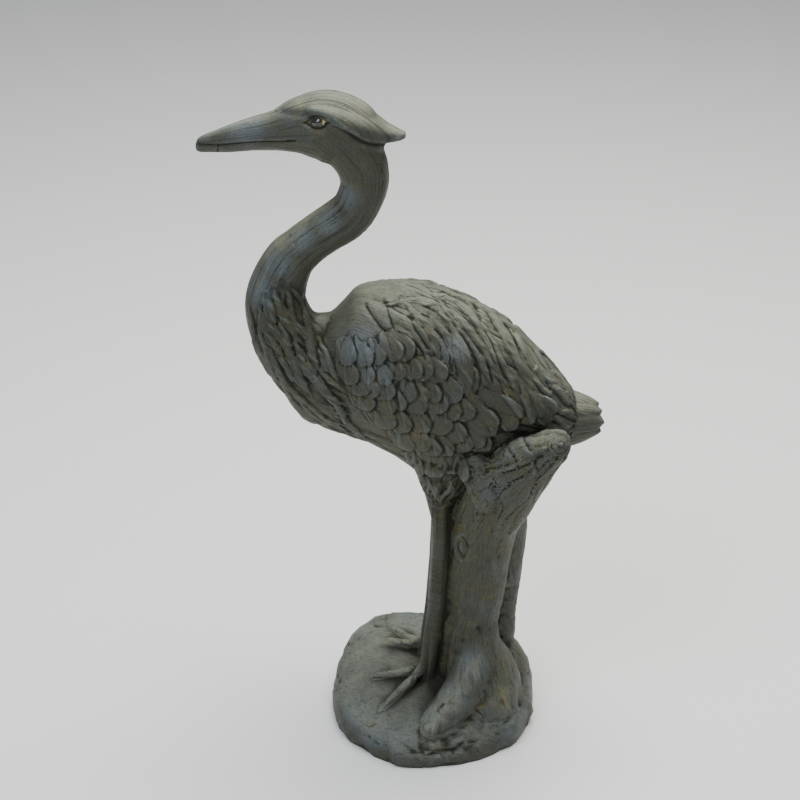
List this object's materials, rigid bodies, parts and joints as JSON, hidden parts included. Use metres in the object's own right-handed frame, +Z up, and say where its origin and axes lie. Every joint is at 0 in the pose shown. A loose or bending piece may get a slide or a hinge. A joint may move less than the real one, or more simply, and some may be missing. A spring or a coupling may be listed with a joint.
{
  "type": "garden statue",
  "caption": "Garden statue of a heron standing beside a broken tree stump on a low rock, cast in one piece with a flat underside to stand on.",
  "frame": {"origin": "middle of the rock's flat underside, on the ground", "axes": "+Z up along the statue's height, +X from the beak towards the tail, -Y out of the bird's left side, where the sawn branch is"},
  "size_m": [0.4538, 0.2609, 0.8034],
  "materials": {
    "cast_stone": "dark grey-green patina over cast stone, rubbed bluish on raised parts, ochre in the hollows"
  },
  "bodies": {
    "root": {"heron_statue": "cast_stone"}
  },
  "joints": []
}
